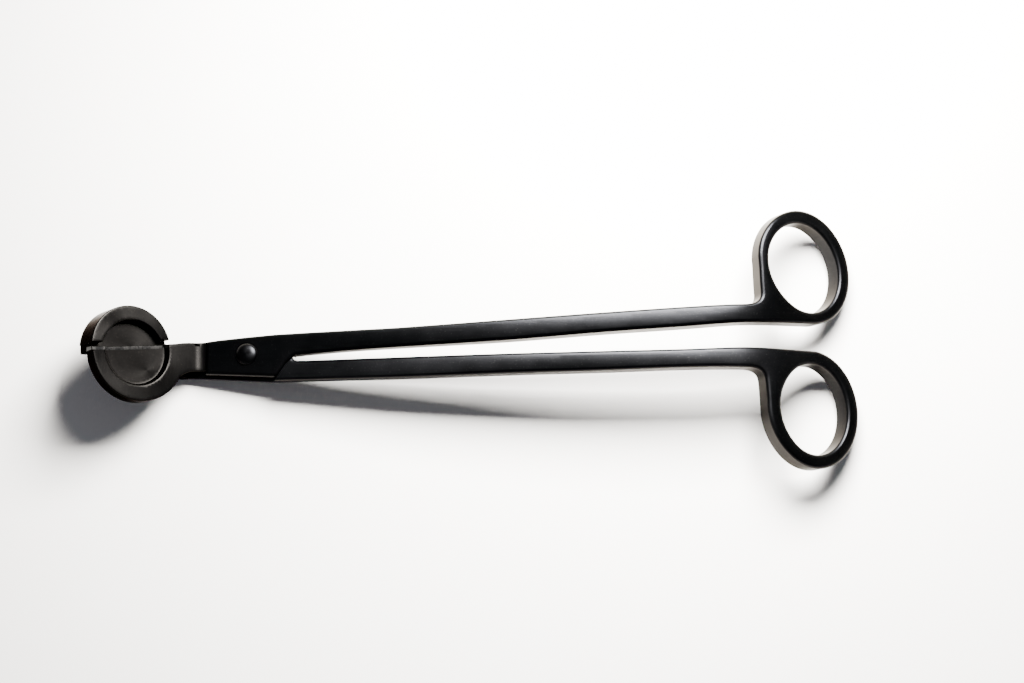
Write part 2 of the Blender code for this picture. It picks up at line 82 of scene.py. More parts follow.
def node(tree: bpy.types.NodeTree, kind: str, links: Optional[dict] = None,
         **settings: object) -> bpy.types.Node:
    """Add a node with its settings and incoming links.

    Args:
        tree: The tree that gets the node.
        kind: The node's type name.
        links: Input name or number to an output socket or a plain value.
        settings: Properties of the node itself.

    Returns:
        The new node.
    """
    made = tree.nodes.new(kind)
    for name, value in settings.items():
        setattr(made, name, value)
    for key, value in (links or {}).items():
        if isinstance(value, bpy.types.NodeSocket):
            tree.links.new(value, made.inputs[key])
        else:
            made.inputs[key].default_value = value
    return made


def new_material(name: str) -> tuple[bpy.types.Material, bpy.types.NodeTree]:
    """Add a material and return it with its emptied tree."""
    made = bpy.data.materials.new(name)
    made.use_nodes = True
    made.node_tree.nodes.clear()
    return made, made.node_tree


def blank_place(tree: bpy.types.NodeTree) -> bpy.types.NodeSocket:
    """Return the place on the piece's flat blank, in metres."""
    return node(tree, "ShaderNodeAttribute", attribute_name="blank").outputs["Vector"]


def cells(size_mm: float) -> float:
    """Return the texture scale that gives cells of a size."""
    return 1 / (size_mm * MM)


def noise(tree: bpy.types.NodeTree, vector: bpy.types.NodeSocket, scale: float,
          detail: float, roughness: float = 0.5) -> bpy.types.Node:
    """Add a noise texture."""
    return node(tree, "ShaderNodeTexNoise", {
        "Vector": vector, "Scale": scale, "Detail": detail, "Roughness": roughness})


def blend(tree: bpy.types.NodeTree, factor: bpy.types.NodeSocket, low: str, high: str
          ) -> bpy.types.NodeSocket:
    """Mix two hex colours by a factor."""
    return node(tree, "ShaderNodeMix", {
        "Factor": factor, "A": linear(low), "B": linear(high)},
        data_type="RGBA").outputs["Result"]


def bumped(tree: bpy.types.NodeTree, height: bpy.types.NodeSocket, strength: float,
           depth_mm: float, **links: bpy.types.NodeSocket) -> bpy.types.NodeSocket:
    """Tilt the normal by a height map."""
    return node(tree, "ShaderNodeBump", {
        "Height": height, "Strength": strength, "Distance": depth_mm * MM,
        **links}).outputs[0]


def metal(tree: bpy.types.NodeTree, links: dict) -> None:
    """End a material's tree in a metal shader with the given inputs."""
    shader = node(tree, "ShaderNodeBsdfPrincipled", {"Metallic": 1.0, **links})
    node(tree, "ShaderNodeOutputMaterial", {"Surface": shader.outputs[0]})


def vector_math(tree: bpy.types.NodeTree, operation: str, *values: object
                ) -> bpy.types.NodeSocket:
    """Add a vector sum and return its first output."""
    return node(tree, "ShaderNodeVectorMath", dict(enumerate(values)),
                operation=operation).outputs[0]


def interpolate(table: Sequence[Point], at: float) -> float:
    """Read a sorted (place, value) table at a place, straight between its rows."""
    return float(np.interp(at, [row[0] for row in table], [row[1] for row in table]))


def smooth_through(stations: Sequence[Point], step: float) -> list[Point]:
    """Draw a cubic through stations.

    Args:
        stations: (x, y) pairs in order of x.
        step: Spacing of the result in x.

    Returns:
        Points from the first station to the last.
    """
    count = max(2, round((stations[-1][0] - stations[0][0]) / step)) + 1
    points = []
    for x in np.linspace(stations[0][0], stations[-1][0], count):
        i = max(k for k in range(len(stations) - 1) if stations[k][0] <= x + 1e-9)
        (x0, y0), (x1, y1) = stations[i], stations[i + 1]
        before = stations[i - 1] if i else stations[i]
        after = stations[i + 2] if i + 2 < len(stations) else stations[i + 1]
        m0 = (y1 - before[1]) / (x1 - before[0])
        m1 = (after[1] - y0) / (after[0] - x0)
        t, h = (x - x0) / (x1 - x0), x1 - x0
        y = ((2 * t**3 - 3 * t**2 + 1) * y0 + (t**3 - 2 * t**2 + t) * h * m0
             + (3 * t**2 - 2 * t**3) * y1 + (t**3 - t**2) * h * m1)
        points.append((float(x), float(y)))
    return points


def arc(centre: Point, radius: float, start: float, end: float, step: float
        ) -> list[Point]:
    """Draw a circular arc with points about step apart, angles in degrees."""
    count = max(3, round(abs(math.radians(end - start)) * radius / step) + 1)
    return [(centre[0] + radius * math.cos(a), centre[1] + radius * math.sin(a))
            for a in np.radians(np.linspace(start, end, count))]


def bezier(a: Point, corner: Point, b: Point, count: int) -> list[Point]:
    """Draw the inner points of a curve from a to b that rounds off the corner."""
    points = []
    for i in range(1, count):
        t = i / count
        points.append(tuple((1 - t)**2 * p + 2 * t * (1 - t) * c + t**2 * q
                            for p, c, q in zip(a, corner, b)))
    return points


def eased(points: Sequence[Point], radii: dict[int, float]) -> list[Point]:
    """Round off the listed corners of a polygon, each by its own reach."""
    result: list[Point] = []
    for i, corner in enumerate(points):
        if i not in radii:
            result.append(corner)
            continue
        here = Vector(corner)
        last = (Vector(points[i - 1]) - here).normalized()
        following = (Vector(points[(i + 1) % len(points)]) - here).normalized()
        start, end = here + last * radii[i], here + following * radii[i]
        result += [tuple(start), *bezier(tuple(start), corner, tuple(end), 8), tuple(end)]
    return result


def evenly(points: Sequence[Point], step: float) -> list[Point]:
    """Split a closed polygon's long sides so that no side is much over step."""
    result: list[Point] = []
    for a, b in zip(points, list(points[1:]) + [points[0]]):
        gap = math.dist(a, b)
        count = max(1, round(gap / step))
        if gap < 0.04:
            continue
        result += [(a[0] + (b[0] - a[0]) * k / count, a[1] + (b[1] - a[1]) * k / count)
                   for k in range(count)]
    return result


def signed_area(points: Sequence[Point]) -> float:
    """Return the signed area of a polygon."""
    p = np.array(points)
    q = np.roll(p, -1, axis=0)
    return float(np.sum(p[:, 0] * q[:, 1] - q[:, 0] * p[:, 1]) / 2)


def inset(points: Sequence[Point], distance: float) -> list[Point]:
    """Move a counter-clockwise polygon inward, or outward for a negative distance."""
    p = np.array(points)
    go = np.roll(p, -1, axis=0) - p
    go /= np.maximum(np.linalg.norm(go, axis=1, keepdims=True), 1e-9)
    normal_out = np.stack([-go[:, 1], go[:, 0]], axis=1)
    normal_in = np.roll(normal_out, 1, axis=0)
    middle = normal_in + normal_out
    middle /= np.maximum(np.linalg.norm(middle, axis=1, keepdims=True), 1e-9)
    reach = distance / np.maximum(0.5, np.sum(middle * normal_out, axis=1))
    return [tuple(row) for row in p + middle * reach[:, None]]


def contains(polygon: Sequence[Point], points: np.ndarray) -> np.ndarray:
    """Say which points lie inside a polygon."""
    p = np.array(polygon)
    q = np.roll(p, -1, axis=0)
    hit = np.zeros(len(points), dtype=bool)
    for (x0, y0), (x1, y1) in zip(p, q):
        if y0 == y1:
            continue
        crosses = (y0 > points[:, 1]) != (y1 > points[:, 1])
        at = (x1 - x0) * (points[:, 1] - y0) / (y1 - y0) + x0
        hit ^= crosses & (points[:, 0] < at)
    return hit


def clearance(loops: Sequence[Sequence[Point]], points: np.ndarray) -> np.ndarray:
    """Return each point's distance to the nearest side of the loops."""
    best = np.full(len(points), FAR)
    for loop in loops:
        a = np.array(loop)
        b = np.roll(a, -1, axis=0)
        side = b - a
        long = np.maximum(np.sum(side**2, axis=1), 1e-12)
        for start in range(0, len(points), BATCH):
            part = points[start:start + BATCH]
            off = part[:, None, :] - a[None, :, :]
            t = np.clip(np.sum(off * side[None], axis=2) / long[None], 0, 1)
            gap = np.linalg.norm(off - t[..., None] * side[None], axis=2).min(axis=1)
            best[start:start + BATCH] = np.minimum(best[start:start + BATCH], gap)
    return best


# --------------------------------------------------------------------------- finishes

class Grain(Enum):
    """Direction that a brushed or turned surface was worked in."""

    ALONG = "along"
    ACROSS = "across"
    TURNED = "turned"


@dataclass(frozen=True)
class BlackPlate:
    """Black-plated stainless steel, worked before plating, with a satin face.

    A thin black metal coat keeps steel's mirror-like shape of highlight at about a
    tenth of its strength, so the metal reads black except where it meets a light. The
    edge colour is what the coat reflects at a grazing angle.
    """

    name: str
    coat: str
    worn: str
    roughness: float
    grain: Grain
    grain_mm: float = 0.12
    grain_long_mm: float = 9.0
    grain_depth_mm: float = 0.004
    cloud_mm: float = 6.0
    dust_mm: float = 0.35
    dust_depth_mm: float = 0.003
    drift_mm: float = 2.5
    anisotropic: float = 0.35
    edge: str = "#d6d3cf"
    centre: Point = (0.0, 0.0)

    def material(self) -> bpy.types.Material:
        """Build the coat's material.

        Returns:
            A material whose grain follows the piece's blank attribute.
        """
        made, tree = new_material(self.name)
        blank = blank_place(tree)
        grain = self._grain(tree, blank)
        cloud = noise(tree, blank, cells(self.cloud_mm), 3.0, 0.55)
        dust = noise(tree, blank, cells(self.dust_mm), 2.0)
        rough = node(tree, "ShaderNodeMapRange", {
            "Value": cloud.outputs[0], "From Min": 0.3, "From Max": 0.7,
            "To Min": self.roughness * 0.9, "To Max": self.roughness * 1.12})
        streak = node(tree, "ShaderNodeMath", {
            0: grain, 1: 0.10, 2: rough.outputs[0]}, operation="MULTIPLY_ADD")
        ramp = node(tree, "ShaderNodeMapRange", {
            "Value": dust.outputs[0], "From Min": 0.62, "From Max": 0.8,
            "To Min": 0.0, "To Max": 0.35})
        lines = bumped(tree, grain, 0.5, self.grain_depth_mm)
        metal(tree, {
            "Base Color": blend(tree, ramp.outputs[0], self.coat, self.worn),
            "Roughness": streak.outputs[0],
            "Normal": bumped(tree, dust.outputs[0], 0.35, self.dust_depth_mm,
                             Normal=lines),
            "Specular Tint": linear(self.edge), "Anisotropic": self.anisotropic})
        return made

    def _grain(self, tree: bpy.types.NodeTree, blank: bpy.types.NodeSocket
               ) -> bpy.types.NodeSocket:
        """Draw the brushed or turned lines.

        Args:
            tree: The material's tree.
            blank: Place on the flat blank, in metres.

        Returns:
            A socket from 0 to 1 across the grain.
        """
        fine, long = cells(self.grain_mm), cells(self.grain_long_mm)
        if self.grain is Grain.TURNED:
            centre = (self.centre[0] * MM, self.centre[1] * MM, 0.0)
            parts = node(tree, "ShaderNodeSeparateXYZ", {
                0: vector_math(tree, "SUBTRACT", blank, centre)})
            flat = node(tree, "ShaderNodeCombineXYZ", {
                0: parts.outputs[0], 1: parts.outputs[1]})
            away = node(tree, "ShaderNodeVectorMath", {0: flat.outputs[0]},
                        operation="LENGTH")
            radial = node(tree, "ShaderNodeMath", {
                0: away.outputs["Value"], 1: fine}, operation="MULTIPLY")
            place = node(tree, "ShaderNodeCombineXYZ", {0: radial.outputs[0], 2: 0.5})
            drift = noise(tree, flat.outputs[0], cells(self.drift_mm), 1.0)
            source = vector_math(tree, "MULTIPLY_ADD", drift.outputs["Color"],
                                 (0.6, 0.6, 0.6), place.outputs[0])
        else:
            scale = ((long, fine, fine) if self.grain is Grain.ALONG
                     else (fine, long, fine))
            source = node(tree, "ShaderNodeMapping", {
                "Vector": blank, "Scale": scale}).outputs[0]
        return noise(tree, source, 1.0, 2.5, 0.6).outputs[0]


@dataclass(frozen=True)
class GroundSteel:
    """Bare steel of the sharpened land, ground through the coat with a fine stone."""

    name: str = "ground_stainless_edge"
    bright: str = "#1b1a19"
    dark: str = "#060606"
    stone_mm: tuple[float, float, float] = (0.22, 0.9, 0.5)
    patch_mm: float = 1.6
    depth_mm: float = 0.012

    def material(self) -> bpy.types.Material:
        """Build the ground steel, broken where the coat has crept back."""
        made, tree = new_material(self.name)
        blank = blank_place(tree)
        stone = node(tree, "ShaderNodeMapping", {
            "Vector": blank, "Scale": tuple(cells(size) for size in self.stone_mm)})
        marks = noise(tree, stone.outputs[0], 1.0, 3.0, 0.7)
        patch = noise(tree, blank, cells(self.patch_mm), 2.0)
        both = node(tree, "ShaderNodeMath", {
            0: marks.outputs[0], 1: patch.outputs[0]}, operation="MULTIPLY")
        worn = node(tree, "ShaderNodeMapRange", {
            "Value": both.outputs[0], "From Min": 0.17, "From Max": 0.36})
        metal(tree, {
            "Base Color": blend(tree, worn.outputs[0], self.dark, self.bright),
            "Roughness": 0.5,
            "Normal": bumped(tree, marks.outputs[0], 0.7, self.depth_mm)})
        return made


@dataclass(frozen=True)
class TurnedSteel:
    """Dark steel of the hidden washer, with fine uneven marks on its faces."""

    name: str = "turned_dark_steel"
    tone: str = "#5b5b5c"
    mark_mm: float = 0.2
    depth_mm: float = 0.01

    def material(self) -> bpy.types.Material:
        """Build the turned steel."""
        made, tree = new_material(self.name)
        place = node(tree, "ShaderNodeTexCoord")
        marks = noise(tree, place.outputs["Object"], cells(self.mark_mm), 2.0)
        rough = node(tree, "ShaderNodeMapRange", {
            "Value": marks.outputs[0], "To Min": 0.28, "To Max": 0.5})
        metal(tree, {
            "Base Color": linear(self.tone), "Roughness": rough.outputs[0],
            "Normal": bumped(tree, marks.outputs[0], 0.3, self.depth_mm)})
        return made


# ------------------------------------------------------------------------ row placing

@dataclass
class Setting:
    """Place of the lap joint in the row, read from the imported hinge."""

    pivot_at: float = 9.5
    pivot_up: float = -0.4
    origin: Vector = field(default_factory=Vector)
    turn: Matrix = field(default_factory=Matrix)

    def __post_init__(self) -> None:
        """Read the hinge's place and direction from the record."""
        hinge = frame["record"]["behaviour"]["joints"][0]
        up = Vector(hinge["axis"]).normalized()
        along = (Vector((1, 0, 0)) - up * up.x).normalized()
        across = up.cross(along)
        self.turn = Matrix((along, across, up)).transposed()
        self.origin = Vector(hinge["pos_m"])

    def place(self, blank: Sequence[float]) -> Vector:
        """Carry a blank point near the lap, in millimetres, to the row in metres."""
        local = Vector((blank[0] - self.pivot_at, blank[1], blank[2] - self.pivot_up))
        return self.origin + self.turn @ (local * MM)

    def place_mesh(self, mesh: bmesh.types.BMesh) -> None:
        """Carry a solid near the lap, in millimetres, to the row in metres."""
        for vertex in mesh.verts:
            vertex.co = self.place(vertex.co)


@dataclass
class Arch:
    """Line that the arms follow: slope in degrees at distances from the bend."""

    slopes: tuple[Point, ...] = (
        (-40.0, 10.0), (24.0, 10.0), (60.0, 7.0), (95.0, 3.0), (114.0, 0.0),
        (120.0, -7.5), (126.0, -20.0), (131.0, -27.5), (160.0, -29.5))
    lap_slope: float = 10.0
    step: float = 0.25
    start: float = -40.0

    def curve(self, setting: Setting) -> bpy.types.Object:
        """Draw the line as a curve object in the row's frame.

        Args:
            setting: Place of the lap joint.

        Returns:
            A poly curve that starts at the arch's start distance.
        """
        count = int((self.slopes[-1][0] - self.start) / self.step)
        x, z = self.start, 0.0
        points = []
        last = self.lap_slope
        for i in range(count + 1):
            at = self.start + i * self.step
            slope = interpolate(self.slopes, at)
            if i:
                middle = math.radians((slope + last) / 2 - self.lap_slope)
                x += math.cos(middle) * self.step
                z += math.sin(middle) * self.step
            last = slope
            points.append(setting.place((x, 0.0, z)))
        data = bpy.data.curves.new("arch_line", "CURVE")
        data.dimensions = "3D"
        spline = data.splines.new("POLY")
        spline.points.add(len(points) - 1)
        for item, point in zip(spline.points, points):
            item.co = (*point, 1.0)
        made = bpy.data.objects.new("arch_line", data)
        bpy.context.collection.objects.link(made)
        return made


class ArchTree:
    """Node tree that stores a blank's own coordinates and lays it on the arch."""

    def __init__(self) -> None:
        """Build the tree once."""
        tree = bpy.data.node_groups.new("lay_on_arch", "GeometryNodeTree")
        face = tree.interface
        for name, kind in (("Blank", "Geometry"), ("Arch Line", "Object"),
                           ("Line Start", "Float"), ("Across", "Vector"),
                           ("Finish", "Material")):
            face.new_socket(name, in_out="INPUT", socket_type="NodeSocket" + kind)
        face.new_socket("Lever", in_out="OUTPUT", socket_type="NodeSocketGeometry")
        given = node(tree, "NodeGroupInput").outputs
        place = node(tree, "GeometryNodeInputPosition")
        stored = node(tree, "GeometryNodeStoreNamedAttribute", {
            "Geometry": given["Blank"], "Name": "blank", "Value": place.outputs[0]},
            data_type="FLOAT_VECTOR", domain="POINT")
        parts = node(tree, "ShaderNodeSeparateXYZ", {0: place.outputs[0]})
        line = node(tree, "GeometryNodeObjectInfo", {"Object": given["Arch Line"]},
                    transform_space="ORIGINAL")
        reach = node(tree, "ShaderNodeMath", {
            0: parts.outputs[0], 1: given["Line Start"]}, operation="SUBTRACT")
        sample = node(tree, "GeometryNodeSampleCurve", {
            "Curves": line.outputs["Geometry"], "Length": reach.outputs[0]},
            mode="LENGTH", use_all_curves=True)
        up = vector_math(tree, "CROSS_PRODUCT", sample.outputs["Tangent"],
                         given["Across"])
        lift = node(tree, "ShaderNodeVectorMath", {
            0: up, "Scale": parts.outputs[2]}, operation="SCALE")
        side = node(tree, "ShaderNodeVectorMath", {
            0: given["Across"], "Scale": parts.outputs[1]}, operation="SCALE")
        both = vector_math(tree, "ADD", lift.outputs[0], side.outputs[0])
        moved = node(tree, "GeometryNodeSetPosition", {
            "Geometry": stored.outputs[0],
            "Position": vector_math(tree, "ADD", sample.outputs["Position"], both)})
        real = node(tree, "GeometryNodeRealizeInstances", {0: moved.outputs[0]})
        dressed = node(tree, "GeometryNodeSetMaterial", {
            "Geometry": real.outputs[0], "Material": given["Finish"]})
        node(tree, "NodeGroupOutput", {0: dressed.outputs[0]})
        self.tree = tree


def bake(item: bpy.types.Object) -> None:
    """Keep the result of an object's modifiers as its plain mesh."""
    graph = bpy.context.evaluated_depsgraph_get()
    graph.update()
    shaped = bpy.data.meshes.new_from_object(item.evaluated_get(graph))
    item.modifiers.clear()
    item.data = shaped


def run_tree(item: bpy.types.Object, tree: bpy.types.NodeTree,
             values: dict[str, object]) -> None:
    """Run a geometry tree on an object and keep the result as its plain mesh.

    Args:
        item: The object, whose mesh is the tree's input.
        tree: The geometry tree.
        values: Input name to value.
    """
    change = item.modifiers.new("made", "NODES")
    change.node_group = tree
    for socket in tree.interface.items_tree:
        if socket.in_out == "INPUT" and socket.name in values:
            change[socket.identifier] = values[socket.name]
    item.update_tag()
    bake(item)


def tie(item: bpy.types.Object, body: str, cad_nodes: Sequence[str]
        ) -> bpy.types.Object:
    """Tie a finished piece to its body, hide the CAD nodes it stands for, and return it.
    """
    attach(item, body)
    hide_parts(*cad_nodes)
    LOG.info("%s: %d faces", item.name, len(item.data.polygons))
    return item


def level(height: float) -> Height:
    """Return a face that lies at one height."""
    return lambda at: np.full(len(at), height)


# ------------------------------------------------------------------------- solid maker

@dataclass
class Plate:
    """Flat blank cut to an outline, with rounded edges and a shaped upper face."""

    outline: list[Point]
    low: Height
    high: Height
    hole: list[Point] = field(default_factory=list)
    top_round: float = 0.6
    back_round: float = 0.4
    round_steps: int = 6
    spacing: float = 0.7
    side_step: float = 0.5
    features: list[list[Point]] = field(default_factory=list)

    def _edge(self, radius: float) -> list[Point]:
        """Return (inset, drop) steps from the wall to the face."""
        turns = np.radians(np.linspace(0, 90, self.round_steps))
        return [(radius * (1 - math.cos(t)), radius * (1 - math.sin(t))) for t in turns]

    def _cap(self, outer: list[Point], hole: list[Point]
             ) -> tuple[np.ndarray, list[list[int]], list[int]]:
        """Triangulate a face with evenly spread inner points.

        Args:
            outer: The face's boundary.
            hole: The boundary of its hole, or nothing.

        Returns:
            Points, triangles, and for each point its boundary index or -1.
        """
        loops = [outer] + ([hole] if hole else [])
        border = np.array(list(outer) + list(hole))
        lines, chains = [], []
        for feature in self.features:
            path = np.array(feature)
            keep = contains(outer, path) & (clearance(loops, path) > 0.1)
            chains.append((path, keep))
        low, high = border.min(axis=0), border.max(axis=0)
        rows = []
        for k, y in enumerate(np.arange(low[1], high[1], self.spacing * 0.866)):
            xs = np.arange(low[0] + (k % 2) * self.spacing / 2, high[0], self.spacing)
            rows.append(np.stack([xs, np.full_like(xs, y)], axis=1))
        grid = np.vstack(rows)
        grid = grid[contains(outer, grid)]
        if hole:
            grid = grid[~contains(hole, grid)]
        grid = grid[clearance(loops, grid) > self.spacing * 0.45]
        for path, keep in chains:
            if keep.any() and len(grid):
                gap = np.full(len(grid), FAR)
                for start in range(0, len(grid), BATCH):
                    part = grid[start:start + BATCH]
                    gap[start:start + BATCH] = np.linalg.norm(
                        part[:, None] - path[keep][None], axis=2).min(axis=1)
                grid = grid[gap > 0.12]
        points = [tuple(p) for p in border] + [tuple(p) for p in grid]
        edges = [(i, (i + 1) % len(outer)) for i in range(len(outer))]
        base = len(outer)
        edges += [(base + i, base + (i + 1) % len(hole)) for i in range(len(hole))]
        for path, keep in chains:
            last = None
            for p, good in zip(path, keep):
                if not good:
                    last = None
                    continue
                points.append(tuple(p))
                if last is not None:
                    lines.append((last, len(points) - 1))
                last = len(points) - 1
        found = delaunay_2d_cdt([Vector(p) for p in points], edges + lines, [], 0, 1e-7)
        verts = np.array([v[:] for v in found[0]])
        sources = [next((s for s in given if s < len(border)), -1)
                   for given in found[3]]
        triangles = [list(face) for face in found[2]]
        centres = np.array([verts[t].mean(axis=0) for t in triangles])
        good = contains(outer, centres)
        if hole:
            good &= ~contains(hole, centres)
        kept = [t for t, g in zip(triangles, good) if g]
        return verts, kept, sources

    def build(self) -> bmesh.types.BMesh:
        """Build the solid.

        Returns:
            A closed bmesh in millimetres.
        """
        outline = evenly(self.outline, self.side_step)
        if signed_area(outline) < 0:
            outline = outline[::-1]
        hole = evenly(self.hole, self.side_step) if self.hole else []
        if hole and signed_area(hole) < 0:
            hole = hole[::-1]
        mesh = bmesh.new()
        loops = [list(range(len(outline)))]
        if hole:
            loops.append(list(range(len(outline), len(outline) + len(hole))))
        steps = [(i, d, False) for i, d in reversed(self._edge(self.back_round))]
        steps += [(i, d, True) for i, d in self._edge(self.top_round)]
        rows, flats = [], []
        for amount, drop, upper in steps:
            plan = inset(outline, amount) + (inset(hole, -amount) if hole else [])
            at = np.array(plan)
            height = self.high(at) - drop if upper else self.low(at) + drop
            rows.append([mesh.verts.new((x, y, z)) for (x, y), z in zip(plan, height)])
            flats.append(plan)
        for below, above in zip(rows, rows[1:]):
            for ids in loops:
                for a, b in zip(ids, ids[1:] + ids[:1]):
                    mesh.faces.new((below[a], below[b], above[b], above[a]))
        for row, plan, upper in ((rows[0], flats[0], False), (rows[-1], flats[-1], True)):
            count = len(outline)
            verts, triangles, source = self._cap(plan[:count], plan[count:])
            height = self.high(verts) if upper else self.low(verts)
            placed = [row[s] if s >= 0 else mesh.verts.new((x, y, z))
                      for s, (x, y), z in zip(source, verts, height)]
            for a, b, c in triangles:
                ids = (a, b, c) if upper else (a, c, b)
                corners = [placed[i] for i in ids]
                if len(set(corners)) == 3:
                    mesh.faces.new(corners)
        bmesh.ops.remove_doubles(mesh, verts=mesh.verts, dist=1e-4)
        bmesh.ops.recalc_face_normals(mesh, faces=mesh.faces)
        return mesh


def prism(outline: Sequence[Point], low: float, high: float) -> bmesh.types.BMesh:
    """Build a sharp-edged cutter block."""
    mesh = bmesh.new()
    count = len(outline)
    below = [mesh.verts.new((x, y, low)) for x, y in outline]
    above = [mesh.verts.new((x, y, high)) for x, y in outline]
    mesh.faces.new(below[::-1])
    mesh.faces.new(above)
    for i in range(count):
        j = (i + 1) % count
        mesh.faces.new((below[i], below[j], above[j], above[i]))
    bmesh.ops.recalc_face_normals(mesh, faces=mesh.faces)
    return mesh


def turned(profile: Sequence[Point], centre: Point, count: int = 128
           ) -> bmesh.types.BMesh:
    """Turn a (radius, height) profile about an upright axis.

    Args:
        profile: Points in order; a radius of 0 is a pole, and an open profile closes
            on itself.
        centre: The axis.
        count: Number of sides.

    Returns:
        A closed bmesh in millimetres.
    """
    mesh = bmesh.new()
    rings = []
    for radius, height in profile:
        if radius == 0.0:
            rings.append([mesh.verts.new((centre[0], centre[1], height))])
        else:
            rings.append([mesh.verts.new((centre[0] + radius * math.cos(a),
                                          centre[1] + radius * math.sin(a), height))
                          for a in np.linspace(0, 2 * math.pi, count, endpoint=False)])
    pairs = list(zip(rings, rings[1:]))
    if profile[0][0] != 0.0:
        pairs.append((rings[-1], rings[0]))
    for a, b in pairs:
        for i in range(count):
            j = (i + 1) % count
            corners = [a[i % len(a)], a[j % len(a)], b[j % len(b)], b[i % len(b)]]
            mesh.faces.new(list(dict.fromkeys(corners)))
    bmesh.ops.recalc_face_normals(mesh, faces=mesh.faces)
    return mesh


def as_object(name: str, mesh: bmesh.types.BMesh, scale: float = 1.0) -> bpy.types.Object:
    """Put a bmesh into the scene as a named object, scaled in its mesh."""
    data = bpy.data.meshes.new(name)
    mesh.to_mesh(data)
    mesh.free()
    if scale != 1.0:
        data.transform(Matrix.Scale(scale, 4))
    made = bpy.data.objects.new(name, data)
    bpy.context.collection.objects.link(made)
    return made


def cut(mesh: bmesh.types.BMesh, cutters: Sequence[bmesh.types.BMesh]
        ) -> bmesh.types.BMesh:
    """Subtract cutters from a solid with the exact solver."""
    item = as_object("work", mesh)
    for cutter in cutters:
        tool = as_object("cutter", cutter)
        change = item.modifiers.new("cut", "BOOLEAN")
        change.operation, change.solver, change.object = "DIFFERENCE", "EXACT", tool
        bake(item)
        bpy.data.objects.remove(tool)
    result = bmesh.new()
    result.from_mesh(item.data)
    bpy.data.objects.remove(item)
    return result


def trim(mesh: bmesh.types.BMesh, point: Sequence[float], normal: Sequence[float]
         ) -> None:
    """Keep the part of a solid behind a plane, and close it."""
    whole = mesh.verts[:] + mesh.edges[:] + mesh.faces[:]
    found = bmesh.ops.bisect_plane(mesh, geom=whole, dist=1e-5, plane_co=point,
                                   plane_no=normal, clear_outer=True)
    rim = [e for e in found["geom_cut"] if isinstance(e, bmesh.types.BMEdge)]
    bmesh.ops.contextual_create(mesh, geom=rim)
    bmesh.ops.recalc_face_normals(mesh, faces=mesh.faces)


def smoothed(item: bpy.types.Object, angle: float = 28.0) -> None:
    """Shade a piece smooth, with creases sharper than an angle kept."""
    item.data.shade_smooth()
    item.data.set_sharp_from_angle(angle=math.radians(angle))
    change = item.modifiers.new("even_normals", "WEIGHTED_NORMAL")
    change.keep_sharp = True
    change.weight = 60
    bake(item)


# ------------------------------------------------------------------------------ levers

@dataclass
class Oval:
    """Oval in a lever's plan, its long axis leaning from the arm's direction."""

    centre: Point
    half_long: float
    half_wide: float
    lean: float

    def points(self, start: float, end: float, step: float) -> list[Point]:
        """Draw part of the oval, with angles in degrees and points a step apart."""
        count = max(8, round(math.radians(end - start) * self.half_long / step))
        ax, ay = math.cos(math.radians(self.lean)), math.sin(math.radians(self.lean))
        points = []
        for t in np.radians(np.linspace(start, end, count + 1) - self.lean):
            p, q = self.half_long * math.cos(t), self.half_wide * math.sin(t)
            points.append((self.centre[0] + p * ax - q * ay,
                           self.centre[1] + p * ay + q * ax))
        return points


@dataclass
class Lever:
    """One arm with its finger ring and its half of the lap joint."""

    name: str
    cad_node: str
    body: str
    arm: tuple[tuple[float, float, float], ...]
    finger_hole: Oval
    ring: Oval
    straight: tuple[Point, ...]
    corner: Point
    mirrored: bool
    lap_thick: float = 3.0
    arm_thick: float = 4.8
    thick_span: Point = (24.0, 105.0)
    crown: float = 0.16
    crown_width: float = 2.4
    crown_from: float = 22.0
    crown_run: float = 12.0
    half_gap: float = 0.15

    def thickness(self, at: np.ndarray) -> np.ndarray:
        """Return the blank's thickness at plan points."""
        return np.interp(at[:, 0], self.thick_span, (self.lap_thick, self.arm_thick))

    def edge(self) -> list[Point]:
        """Draw the inner edge, ring, fillet and outer edge of the arm."""
        inner = smooth_through([(s, y) for s, y, _ in self.arm], 1.0)
        outer = smooth_through([(s, y) for s, _, y in self.arm], 1.0)
        loop = self.ring.points(-86, 196, 0.5)
        side = min(loop[len(loop) // 2:], key=lambda p: p[0])
        loop = [p for p in loop
                if p[1] >= side[1] or p[0] > self.ring.centre[0] - 1.0]
        loop += self.straight
        first, last = inner[-1], loop[0]
        run = [(first[0] + (last[0] - first[0]) * t, first[1] + (last[1] - first[1]) * t)
               for t in np.linspace(0, 1, 16)[1:-1]]
        bend = bezier(loop[-1], self.corner, outer[-1], 14)
        points = inner + run + loop + bend + outer[::-1]
        return self._handed(points)

    def _handed(self, points: list[Point]) -> list[Point]:
        """Turn a plan over for the lever of the other hand."""
        return [(x, -y) for x, y in points] if self.mirrored else points

    def hole(self) -> list[Point]:
        """Draw the finger hole in the lever's own hand."""
        return self._handed(self.finger_hole.points(0.0, 360.0, 0.5)[:-1])

    def blank(self, lap: list[Point]) -> bmesh.types.BMesh:
        """Build the uncut blank.

        Args:
            lap: The outline from the end of the edge round the lap.

        Returns:
            A bmesh in millimetres, crowned on top.
        """
        outline = self.edge() + lap
        hole = self.hole()
        rim = evenly(outline, 0.6)

        def high(at: np.ndarray) -> np.ndarray:
            """Crown the face towards the middle of the arm."""
            reach = np.clip(clearance([rim, hole], at) / self.crown_width, 0, 1)
            fade = np.clip((at[:, 0] - self.crown_from) / self.crown_run, 0, 1)
            return self.thickness(at) - self.crown * fade * (1 - reach) ** 2

        return Plate(outline, level(0.0), high, hole, top_round=0.75, back_round=0.4,
                     round_steps=9).build()


